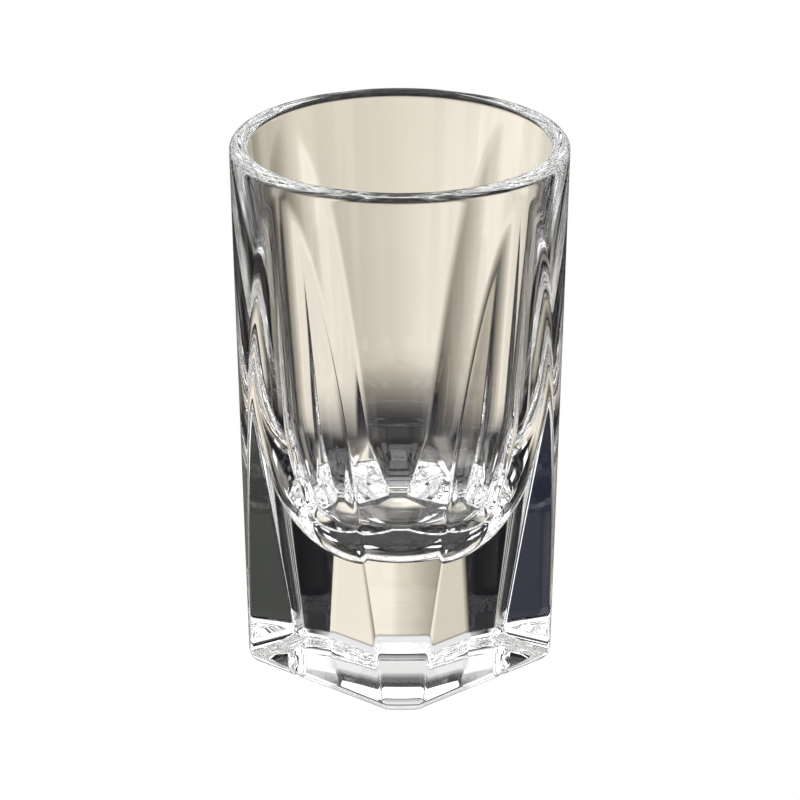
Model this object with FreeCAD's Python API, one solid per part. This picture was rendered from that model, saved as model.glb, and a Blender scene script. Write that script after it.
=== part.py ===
import FreeCAD, Part
import math, os

# Heavy-base shot glass, one press-moulded piece of clear glass.
# Millimetres, +Z up. The origin is the centre of the resting face, the axis
# of the bore is +Z, and the four flat sides face +X, +Y, -X and -Y, so the
# four round corners point along the diagonals.

# ---- driving dimensions -------------------------------------------------
HEIGHT = 78.5            # resting face to the top of the lip
RIM_RADIUS = 24.0        # outside radius at the lip
WALL_AT_LIP = 2.6        # glass thickness at the lip, fully rounded over
CORNER_RADIUS_BASE = 21.62   # outside radius of the round corners at z = 0
FLAT_DISTANCE_BASE = 17.03   # axis to each flat side at z = 0
FLAT_TOP_Z = 76.0        # height at which the flats run out into the round
BAND_Z = 68.0            # the outside is laid out in two bands, split here
HEEL_RADIUS = 2.0        # rounding between the sides and the resting face
HOLLOW_RADIUS = 12.0     # shallow round hollow in the middle of the foot
HOLLOW_DEPTH = 0.5
BORE_TOP_RADIUS = 21.4   # inside radius just under the lip
FLOOR_Z = 18.35          # thickness of solid glass under the cup
FLOOR_BALL = 15.4        # radius of the round floor of the cup
SHOULDER_RADIUS = 50.0   # larger curve between the floor and the cup's wall
SHOULDER_TILT = 22.0     # lean of the wall where the two curves meet, degrees

# ---- derived ------------------------------------------------------------
lip_z = HEIGHT - WALL_AT_LIP / 2.0
lip_r = RIM_RADIUS - WALL_AT_LIP / 2.0

meet = math.radians(SHOULDER_TILT)
ball_z = FLOOR_Z + FLOOR_BALL
meet_r = FLOOR_BALL * math.cos(meet)
meet_z = ball_z - FLOOR_BALL * math.sin(meet)
mid_r = meet_r - SHOULDER_RADIUS * math.cos(meet)
mid_z = meet_z + SHOULDER_RADIUS * math.sin(meet)
wall_tilt = math.radians(6.0)
for _ in range(60):      # the straight wall leaves the shoulder at its own lean
    end_r = mid_r + SHOULDER_RADIUS * math.cos(wall_tilt)
    end_z = mid_z - SHOULDER_RADIUS * math.sin(wall_tilt)
    wall_tilt = math.atan((BORE_TOP_RADIUS - end_r) / (lip_z - end_z))

hollow_ball = (HOLLOW_RADIUS ** 2 + HOLLOW_DEPTH ** 2) / (2 * HOLLOW_DEPTH)
half_r = HOLLOW_RADIUS / 2
half_z = HOLLOW_DEPTH - (hollow_ball - math.sqrt(hollow_ball ** 2 - half_r ** 2))

corner_slope = (RIM_RADIUS - CORNER_RADIUS_BASE) / lip_z
corner_radius_top = CORNER_RADIUS_BASE + corner_slope * FLAT_TOP_Z
band_r = CORNER_RADIUS_BASE + corner_slope * BAND_Z
flat_tilt = math.atan((corner_radius_top - FLAT_DISTANCE_BASE) / FLAT_TOP_Z)


def v(r, z):
    return FreeCAD.Vector(r, 0, z)


def glass_body():
    # turned blank: hollow foot, conical outside, rounded lip, tapered bore
    # with a round floor
    in_shoulder = (wall_tilt + meet) / 2
    in_ball = (meet + math.pi / 2) / 2
    profile = Part.Wire([
        Part.Arc(v(0, HOLLOW_DEPTH), v(half_r, half_z),
                 v(HOLLOW_RADIUS, 0)).toShape(),
        Part.makeLine(v(HOLLOW_RADIUS, 0), v(CORNER_RADIUS_BASE, 0)),
        Part.makeLine(v(CORNER_RADIUS_BASE, 0), v(band_r, BAND_Z)),
        Part.makeLine(v(band_r, BAND_Z), v(RIM_RADIUS, lip_z)),
        Part.Arc(v(RIM_RADIUS, lip_z), v(lip_r, HEIGHT),
                 v(RIM_RADIUS - WALL_AT_LIP, lip_z)).toShape(),
        Part.makeLine(v(BORE_TOP_RADIUS, lip_z), v(end_r, end_z)),
        Part.Arc(v(end_r, end_z),
                 v(mid_r + SHOULDER_RADIUS * math.cos(in_shoulder),
                   mid_z - SHOULDER_RADIUS * math.sin(in_shoulder)),
                 v(meet_r, meet_z)).toShape(),
        Part.Arc(v(meet_r, meet_z),
                 v(FLOOR_BALL * math.cos(in_ball),
                   ball_z - FLOOR_BALL * math.sin(in_ball)),
                 v(0, FLOOR_Z)).toShape(),
        Part.makeLine(v(0, FLOOR_Z), v(0, HOLLOW_DEPTH)),
    ])
    blank = Part.Face(profile).revolve(
        FreeCAD.Vector(0, 0, 0), FreeCAD.Vector(0, 0, 1), 360)
    blank = blank.Solids[0] if blank.Solids else blank

    # four flat sides, leaning outwards until they run out below the lip
    body = blank
    for quarter in range(4):
        side = Part.makeBox(20, 80, 110, FreeCAD.Vector(0, -40, -10))
        side.rotate(FreeCAD.Vector(0, 0, 0), FreeCAD.Vector(0, 1, 0),
                    math.degrees(flat_tilt))
        side.translate(FreeCAD.Vector(FLAT_DISTANCE_BASE, 0, 0))
        side.rotate(FreeCAD.Vector(0, 0, 0), FreeCAD.Vector(0, 0, 1),
                    90.0 * quarter)
        below_lip = Part.makeBox(120, 120, lip_z + 20,
                                 FreeCAD.Vector(-60, -60, -20))
        body = body.cut(side.common(below_lip))

    # rounded heel all the way round the foot, outside the hollow
    outside = (HOLLOW_RADIUS + FLAT_DISTANCE_BASE) / 2
    heel = [e for e in body.Edges
            if e.BoundBox.ZMax < 1e-4 and e.Length > 1.0
            and min(w.Point.Length for w in e.Vertexes) > outside]
    body = body.makeFillet(HEEL_RADIUS, heel)
    return body.Solids[0]


os.makedirs("parts", exist_ok=True)
shape = glass_body()
shape.exportStep("parts/glass_body.step")
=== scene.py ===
import math

import bpy
import numpy as np
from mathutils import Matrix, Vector


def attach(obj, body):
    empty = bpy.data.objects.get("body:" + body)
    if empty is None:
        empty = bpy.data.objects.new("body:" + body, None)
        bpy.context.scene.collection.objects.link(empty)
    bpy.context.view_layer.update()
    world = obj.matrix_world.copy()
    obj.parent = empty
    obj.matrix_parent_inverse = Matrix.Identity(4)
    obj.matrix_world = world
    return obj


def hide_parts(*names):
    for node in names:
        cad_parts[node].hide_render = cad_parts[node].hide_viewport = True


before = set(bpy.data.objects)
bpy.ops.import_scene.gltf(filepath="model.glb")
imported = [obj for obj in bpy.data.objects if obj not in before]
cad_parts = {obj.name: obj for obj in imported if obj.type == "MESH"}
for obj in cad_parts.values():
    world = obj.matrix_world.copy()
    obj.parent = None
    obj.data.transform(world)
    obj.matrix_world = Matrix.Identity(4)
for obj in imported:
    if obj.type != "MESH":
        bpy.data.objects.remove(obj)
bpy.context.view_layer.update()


# ---------------------------------------------------------------- dimensions
# Millimetres, the same numbers as the CAD part.
HEIGHT = 78.5
RIM_RADIUS = 24.0
WALL_AT_LIP = 2.6
CORNER_RADIUS_BASE = 21.62
FLAT_DISTANCE_BASE = 17.03
FLAT_TOP_Z = 76.0
HEEL_RADIUS = 2.0
HOLLOW_RADIUS = 12.0         # shallow hollow under the foot
HOLLOW_DEPTH = 0.5
BORE_TOP_RADIUS = 21.4
FLOOR_Z = 18.35
FLOOR_BALL = 15.4            # radius of the round floor of the cup
SHOULDER_RADIUS = 50.0       # larger curve between the floor and the cup's wall
SHOULDER_TILT = 22.0         # lean of the wall where the two curves meet, degrees
ARRIS_WIDTH = 0.45           # half width of the fire-polished edge between flats and corners
ARRIS_GROWTH = 0.5           # how much wider that edge gets up to where the flats run out
WAVINESS = 0.000008          # metres, height of the slow waviness of the pressed skin
SCUFF = 0.03                 # roughness of the scuffs on the ring it stands on

LIP_Z = HEIGHT - WALL_AT_LIP / 2.0
LIP_R = RIM_RADIUS - WALL_AT_LIP / 2.0
CORNER_SLOPE = (RIM_RADIUS - CORNER_RADIUS_BASE) / LIP_Z
FLAT_SLOPE = (CORNER_RADIUS_BASE + CORNER_SLOPE * FLAT_TOP_Z
              - FLAT_DISTANCE_BASE) / FLAT_TOP_Z

# ------------------------------------------------------------------ the glass
N_FLAT = 18      # columns per eighth on the flat side
N_ROUND = 18     # columns per eighth on the rounded corner


def corner_radius(z):
    return CORNER_RADIUS_BASE + CORNER_SLOPE * z


def flat_distance(z):
    return FLAT_DISTANCE_BASE + FLAT_SLOPE * z


def soft_min(a, b, k):
    h = np.clip(0.5 + 0.5 * (b - a) / k, 0.0, 1.0)
    return b * (1 - h) + a * h - k * h * (1 - h)


def arris_width(z):
    return ARRIS_WIDTH + ARRIS_GROWTH * (min(z, FLAT_TOP_Z) / FLAT_TOP_Z) ** 2


def edge_angle(z, inset=0.0):
    c = (flat_distance(z) - inset) / (corner_radius(z) - inset)
    return math.acos(min(0.99999, max(-1.0, c)))


def section_radius(psi, z, inset=0.0):
    """Radius of the outside at angle psi from the nearest flat's normal."""
    round_r = corner_radius(z) - inset
    flat_r = (flat_distance(z) - inset) / np.cos(psi)
    s = math.tan(max(edge_angle(z, inset), 0.03))
    k = max(arris_width(z) * s, 0.0008)
    return soft_min(np.full_like(psi, round_r), flat_r, k)


def spread(z, share, inset=0.0):
    """Angles from the flat's normal (0) to the corner (45 deg), gathered at the edge."""
    e = edge_angle(z, inset)
    even = math.radians(22.5)
    e = e * (1 - share) + even * share
    e = min(max(e, math.radians(7.0)), math.radians(39.5))
    half = 0.9 * arris_width(z) / corner_radius(min(z, HEIGHT))
    gather = np.array([1.0, 1.35, 1.9, 2.8]) * half * (1 - share) + \
        np.array([1.0, 2.0, 3.0, 4.0]) * math.radians(22.5 / N_FLAT) * share
    inner = np.array([0.0, 0.34, 0.67]) * half * (1 - share) + \
        np.array([0.0, 0.3, 0.65]) * math.radians(22.5 / N_FLAT) * share
    left = list(e - inner[1:]) + list(e - gather)
    right = list(e + inner[1:]) + list(e + gather)
    n_l = N_FLAT - len(left)
    n_r = N_ROUND - len(right)
    lo = np.linspace(0.0, left[-1], n_l + 1)[:-1]
    hi = np.linspace(right[-1], math.pi / 4, n_r + 1)[1:]
    return np.array(list(lo) + left[::-1] + [e] + right + list(hi))


def all_round(psi):
    """Mirror one eighth (0..45 deg) round the full circle."""
    n = len(psi) - 1
    out = []
    for q in range(4):
        base = q * math.pi / 2
        out += [base + p for p in psi[:-1]]
        out += [base + math.pi / 2 - p for p in psi[:0:-1]]
    return np.array(out), np.concatenate(
        [np.concatenate([psi[:-1], psi[:0:-1]]) for _ in range(4)])


rows = []       # (x, y, z) rings, from the middle of the foot outside, over the lip, into the cup


def outer_row(z, inset=0.0, scale=1.0, zz=None):
    psi = spread(z, 0.0, inset)
    th, ps = all_round(psi)
    r = section_radius(ps, z, inset) * scale
    rows.append(np.stack([r * np.cos(th), r * np.sin(th), np.full_like(r, z if zz is None else zz)], 1))


def turned_row(r, z, share):
    psi = spread(FLAT_TOP_Z, share)
    th, _ = all_round(psi)
    rows.append(np.stack([r * np.cos(th), r * np.sin(th), np.full_like(th, z)], 1))


hollow_ball = (HOLLOW_RADIUS ** 2 + HOLLOW_DEPTH ** 2) / (2 * HOLLOW_DEPTH)


def hollow_z(r):
    return HOLLOW_DEPTH - (hollow_ball - math.sqrt(hollow_ball ** 2 - r * r))


for t in np.linspace(0.06, 1.0, 16):
    turned_row(HOLLOW_RADIUS * t, hollow_z(HOLLOW_RADIUS * t), 1.0)
hollow_edge = len(rows)
outer_row(0.0, HEEL_RADIUS)
ring = rows.pop()
inner = rows[-1].copy()
for t in (0.04, 0.3, 0.6, 0.85):
    step_row = inner * (1 - t) + ring * t
    step_row[:, 2] = 0.0
    rows.append(step_row)
for k in range(11):
    a = k / 10 * math.pi / 2
    outer_row(HEEL_RADIUS * (1 - math.cos(a)), HEEL_RADIUS * (1 - math.sin(a)))
z_list = list(np.linspace(HEEL_RADIUS, 60.0, 66))[1:] + list(np.linspace(60.0, LIP_Z, 42))[1:]
for z in z_list:
    outer_row(z)
for k in range(1, 25):
    a = k / 25 * math.pi
    turned_row(LIP_R + WALL_AT_LIP / 2 * math.cos(a), LIP_Z + WALL_AT_LIP / 2 * math.sin(a), k / 50)
meet = math.radians(SHOULDER_TILT)
ball_z = FLOOR_Z + FLOOR_BALL
meet_r, meet_z = FLOOR_BALL * math.cos(meet), ball_z - FLOOR_BALL * math.sin(meet)
mid_r, mid_z = meet_r - SHOULDER_RADIUS * math.cos(meet), meet_z + SHOULDER_RADIUS * math.sin(meet)
tilt = math.radians(6.0)
for _ in range(60):      # the straight wall leaves the shoulder curve at its own lean
    end_r = mid_r + SHOULDER_RADIUS * math.cos(tilt)
    end_z = mid_z - SHOULDER_RADIUS * math.sin(tilt)
    tilt = math.atan((BORE_TOP_RADIUS - end_r) / (LIP_Z - end_z))
for t in np.linspace(0, 1, 36):
    turned_row(BORE_TOP_RADIUS + (end_r - BORE_TOP_RADIUS) * t, LIP_Z + (end_z - LIP_Z) * t, 0.5 + 0.5 * t)
for a in np.linspace(tilt, meet, 16)[1:]:
    turned_row(mid_r + SHOULDER_RADIUS * math.cos(a), mid_z - SHOULDER_RADIUS * math.sin(a), 1.0)
for a in np.linspace(meet, math.pi / 2, 42)[1:-1]:
    turned_row(FLOOR_BALL * math.cos(a), ball_z - FLOOR_BALL * math.sin(a), 1.0)

n = len(rows[0])
m = len(rows)
verts = np.concatenate(rows + [np.array([[0.0, 0.0, HOLLOW_DEPTH]]), np.array([[0.0, 0.0, FLOOR_Z]])]) * 0.001
faces = []
for i in range(m - 1):
    a, b = i * n, (i + 1) * n
    for j in range(n):
        k = (j + 1) % n
        faces.append((a + j, a + k, b + k, b + j))
low, top = m * n, m * n + 1
for j in range(n):
    k = (j + 1) % n
    faces.append((low, k, j))
    faces.append(((m - 1) * n + j, (m - 1) * n + k, top))
mesh = bpy.data.meshes.new("glass_look")
mesh.from_pydata(verts.tolist(), [], faces)
mesh.polygons.foreach_set("use_smooth", [True] * len(mesh.polygons))
mesh.update()
glass = bpy.data.objects.new("glass_look", mesh)
bpy.context.scene.collection.objects.link(glass)

# ------------------------------------------------------------ clear soda glass
mat = bpy.data.materials.new("clear_glass")
mat.use_nodes = True
bsdf = mat.node_tree.nodes["Principled BSDF"]
bsdf.inputs["Base Color"].default_value = (1.0, 1.0, 1.0, 1.0)
bsdf.inputs["Roughness"].default_value = 0.0
bsdf.inputs["IOR"].default_value = 1.51
bsdf.inputs["Transmission Weight"].default_value = 1.0
mesh.materials.append(mat)

# pressed glass isn't optically flat: a faint chill waviness from the mould, in the
# object's own coordinates
gt = mat.node_tree
where = gt.nodes.new("ShaderNodeTexCoord")


def noise(scale, detail, squash_z):
    stretch = gt.nodes.new("ShaderNodeMapping")
    stretch.inputs["Scale"].default_value = (1.0, 1.0, squash_z)
    gt.links.new(where.outputs["Object"], stretch.inputs["Vector"])
    tex = gt.nodes.new("ShaderNodeTexNoise")
    tex.inputs["Scale"].default_value = scale
    tex.inputs["Detail"].default_value = detail
    tex.inputs["Roughness"].default_value = 0.4
    gt.links.new(stretch.outputs[0], tex.inputs["Vector"])
    return tex.outputs[0]


wavy = gt.nodes.new("ShaderNodeBump")
wavy.inputs["Strength"].default_value = 1.0
wavy.inputs["Distance"].default_value = WAVINESS
gt.links.new(noise(110.0, 1.0, 0.5), wavy.inputs["Height"])
gt.links.new(wavy.outputs[0], bsdf.inputs["Normal"])

# the ring it stands on is scuffed by use; everything above it is fire-polished
height = gt.nodes.new("ShaderNodeSeparateXYZ")
gt.links.new(where.outputs["Object"], height.inputs[0])
on_ring = gt.nodes.new("ShaderNodeMapRange")
on_ring.inputs["From Min"].default_value = 0.00025
on_ring.inputs["From Max"].default_value = 0.00002
on_ring.inputs["To Min"].default_value = 0.0
on_ring.inputs["To Max"].default_value = 1.0
gt.links.new(height.outputs[2], on_ring.inputs["Value"])
scratch = gt.nodes.new("ShaderNodeMapRange")
scratch.inputs["From Min"].default_value = 0.45
scratch.inputs["From Max"].default_value = 0.7
scratch.inputs["To Min"].default_value = 0.0
scratch.inputs["To Max"].default_value = SCUFF
gt.links.new(noise(1400.0, 3.0, 1.0), scratch.inputs["Value"])
worn = gt.nodes.new("ShaderNodeMath")
worn.operation = "MULTIPLY"
gt.links.new(on_ring.outputs[0], worn.inputs[0])
gt.links.new(scratch.outputs[0], worn.inputs[1])
gt.links.new(worn.outputs[0], bsdf.inputs["Roughness"])

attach(glass, "root")
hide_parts("glass_body")

# ------------------------------------------------------- pale floor (stage)
CAM_TURN = -46.1      # where the camera stands, degrees from +X towards +Y
CAM_LIFT = 20.9128


def emission_material(name, colour):
    mt = bpy.data.materials.new(name)
    mt.use_nodes = True
    nt = mt.node_tree
    nt.nodes.clear()
    out = nt.nodes.new("ShaderNodeOutputMaterial")
    em = nt.nodes.new("ShaderNodeEmission")
    em.inputs["Color"].default_value = (*colour, 1.0)
    em.inputs["Strength"].default_value = 1.0
    nt.links.new(em.outputs[0], out.inputs[0])
    return mt


fm = bpy.data.meshes.new("pale_floor")
fm.from_pydata([(-3, -3, -0.0002), (3, -3, -0.0002), (3, 3, -0.0002), (-3, 3, -0.0002)], [], [(0, 1, 2, 3)])
fm.materials.append(emission_material("pale_floor", (1.0, 1.0, 1.0)))
floor = bpy.data.objects.new("pale_floor", fm)
bpy.context.scene.collection.objects.link(floor)
floor.visible_transmission = False
floor.visible_glossy = False
floor.visible_diffuse = False
floor.visible_shadow = False

# ---------------------------------------------------- soft studio surround
world = bpy.data.worlds.new("studio")
bpy.context.scene.world = world
world.use_nodes = True
wt = world.node_tree
wt.nodes.clear()
W = wt.nodes
out = W.new("ShaderNodeOutputWorld")
bg = W.new("ShaderNodeBackground")
wt.links.new(bg.outputs[0], out.inputs[0])
tc = W.new("ShaderNodeTexCoord")
turn = W.new("ShaderNodeVectorRotate")
turn.rotation_type = "Z_AXIS"
turn.inputs["Angle"].default_value = -math.radians(CAM_TURN + 90)
wt.links.new(tc.outputs["Generated"], turn.inputs["Vector"])
sep = W.new("ShaderNodeSeparateXYZ")
wt.links.new(turn.outputs[0], sep.inputs[0])


def M(op, *args, clamp=False):
    node = W.new("ShaderNodeMath")
    node.operation = op
    node.use_clamp = clamp
    for i, x in enumerate(args):
        if isinstance(x, (int, float)):
            node.inputs[i].default_value = x
        else:
            wt.links.new(x, node.inputs[i])
    return node.outputs[0]


def step(x, a, b):
    """0 below a, 1 above b, smooth between (b may be under a)."""
    node = W.new("ShaderNodeMapRange")
    node.interpolation_type = "SMOOTHSTEP"
    node.clamp = True
    lo, hi, v0, v1 = (a, b, 0.0, 1.0) if a < b else (b, a, 1.0, 0.0)
    node.inputs["From Min"].default_value = lo
    node.inputs["From Max"].default_value = hi
    node.inputs["To Min"].default_value = v0
    node.inputs["To Max"].default_value = v1
    wt.links.new(x, node.inputs["Value"])
    return node.outputs["Result"]


def mixed(mask, under, over):
    node = W.new("ShaderNodeMix")
    node.data_type = "RGBA"
    wt.links.new(mask, node.inputs[0])
    for sock, c in ((node.inputs[6], under), (node.inputs[7], over)):
        if isinstance(c, tuple):
            sock.default_value = (*c, 1.0)
        else:
            wt.links.new(c, sock)
    return node.outputs[2]


azimuth = M("MULTIPLY", M("ARCTAN2", sep.outputs[0], sep.outputs[1]), 57.29578)   # 0 = behind the glass
lift = M("MULTIPLY", M("ARCSINE", M("MULTIPLY", sep.outputs[2], 0.999999)), 57.29578)


def card(colour, under, at, half, soft, lo, hi, soft_lo, soft_hi, every=360.0):
    """A soft-edged card: azimuth at +- half, height lo..hi, repeated every so many degrees."""
    off = M("ABSOLUTE", M("WRAP", M("SUBTRACT", azimuth, at), every / 2, -every / 2))
    side = step(off, half + soft / 2, half - soft / 2)
    body = M("MULTIPLY", step(lift, lo - soft_lo / 2, lo + soft_lo / 2), step(lift, hi + soft_hi / 2, hi - soft_hi / 2))
    return mixed(M("MULTIPLY", side, body), under, colour)


DARK = (0.012, 0.0115, 0.014)
WHITE = (1.0, 1.0, 1.0)

# bright wall all round just above the table, in panels, brightest in front
col = mixed(step(lift, 1.0, 8.0), DARK, (0.60, 0.60, 0.60))
col = card((1.50, 1.50, 1.50), col, 30.0, 9.0, 3.0, 4.0, 24.0, 4.0, 3.0, 60.0)
col = card((0.85, 0.85, 0.84), col, 0.0, 26.0, 8.0, -9.0, 21.5, 6.0, 3.0)
col = card((1.30, 1.32, 1.36), col, 38.0, 7.0, 3.0, -8.0, 14.0, 4.0, 3.0)
col = card((1.30, 1.32, 1.36), col, -38.0, 7.0, 3.0, -8.0, 14.0, 4.0, 3.0)
# overhead lights: strong panels with dark gaps between them
col = mixed(step(lift, 26.0, 32.0), col, DARK)
col = card((2.3, 2.3, 2.3), col, 0.0, 17.0, 2.5, 31.7, 58.0, 1.5, 4.0, 60.0)
col = card((1.8, 1.8, 1.8), col, 30.0, 5.5, 2.5, 36.0, 52.0, 2.0, 4.0, 60.0)
col = mixed(step(lift, 64.0, 68.0), col, (1.8, 1.8, 1.8))
col = card((0.08, 0.08, 0.08), col, 0.0, 17.0, 10.0, 24.0, 31.7, 7.0, 1.5, 90.0)
# thin strip lights far round the sides
col = card((2.0, 2.05, 2.2), col, -101.0, 3.5, 1.5, -14.0, 12.0, 5.0, 4.0)
col = card((2.0, 2.05, 2.2), col, 68.0, 3.5, 1.5, -12.0, 8.0, 4.0, 4.0, 180.0)
# low down: nearly dark straight under the cards, strong patches beside it
col = card((0.03, 0.029, 0.028), col, 0.0, 14.0, 12.0, -64.0, -36.0, 8.0, 6.0, 90.0)
col = card((0.27, 0.26, 0.24), col, -19.0, 7.0, 8.0, -52.0, -33.0, 5.0, 3.0, 90.0)
col = card((1.5, 1.5, 1.5), col, -31.0, 6.5, 3.0, -64.0, -48.0, 3.0, 3.0, 90.0)
col = card((1.4, 1.4, 1.4), col, 31.0, 4.5, 3.0, -60.0, -44.0, 3.0, 3.0, 90.0)
col = card((1.4, 1.4, 1.4), col, 90.0, 24.0, 3.0, -36.0, -32.0, 1.5, 1.5, 180.0)
col = mixed(step(lift, -63.0, -67.0), col, (0.05, 0.05, 0.05))
# faint tints in the dark at table height, greenish on one side and bluish on the other
col = card((0.048, 0.052, 0.047), col, 86.0, 10.0, 8.0, -14.0, -3.0, 6.0, 4.0)
col = card((0.020, 0.023, 0.040), col, -92.0, 7.0, 4.0, -14.0, -3.0, 6.0, 4.0)
# pale cards at table height: brighter towards the right, fading out towards the table
across = M("WRAP", azimuth, 45.0, -45.0)
beige = mixed(step(across, -22.0, -9.0), (0.10, 0.09, 0.075), (0.41, 0.37, 0.30))
beige = mixed(step(across, -11.0, 0.4), beige, (0.76, 0.70, 0.58))
beige = mixed(step(across, -0.6, 2.6), beige, (0.96, 0.89, 0.765))
col = card((0.60, 0.55, 0.46), col, 45.0, 6.5, 4.0, -29.0, -3.0, 6.0, 5.0, 90.0)
col = card(beige, col, 0.0, 21.5, 4.0, -30.5, -11.0, 8.0, 6.0, 90.0)

# what the polished skin mirrors: the overhead light with its gaps, and little else
shine = mixed(step(lift, 18.0, 34.0), (0.010, 0.010, 0.012), (0.32, 0.32, 0.32))
shine = card(DARK, shine, 15.0, 3.5, 1.6, 10.0, 66.0, 4.0, 6.0, 30.0)

path = W.new("ShaderNodeLightPath")
col = mixed(path.outputs["Is Reflection Ray"], col, shine)
col = mixed(path.outputs["Is Camera Ray"], col, WHITE)
wt.links.new(col, bg.inputs["Color"])

# ------------------------------------------------------------------ camera
cam_data = bpy.data.cameras.new("camera")
cam_data.sensor_width = 36.0
cam_data.lens = 36.0 * 7588.87 / 800.0
cam_data.clip_end = 20.0
cam_data.shift_x = 0.3 / 800.0
cam = bpy.data.objects.new("camera", cam_data)
bpy.context.scene.collection.objects.link(cam)
ta, te = math.radians(CAM_TURN), math.radians(CAM_LIFT)
back = Vector((math.cos(ta) * math.cos(te), math.sin(ta) * math.cos(te), math.sin(te)))
cam.location = Vector((0, 0, 0.039375)) + back * 1.0804
cam.rotation_euler = back.to_track_quat("Z", "Y").to_euler()
bpy.context.scene.camera = cam

sc = bpy.context.scene
sc.view_settings.view_transform = "Standard"
sc.view_settings.look = "None"
sc.cycles.max_bounces = 32
sc.cycles.transmission_bounces = 32
sc.cycles.glossy_bounces = 32
sc.cycles.caustics_refractive = True
sc.cycles.caustics_reflective = True
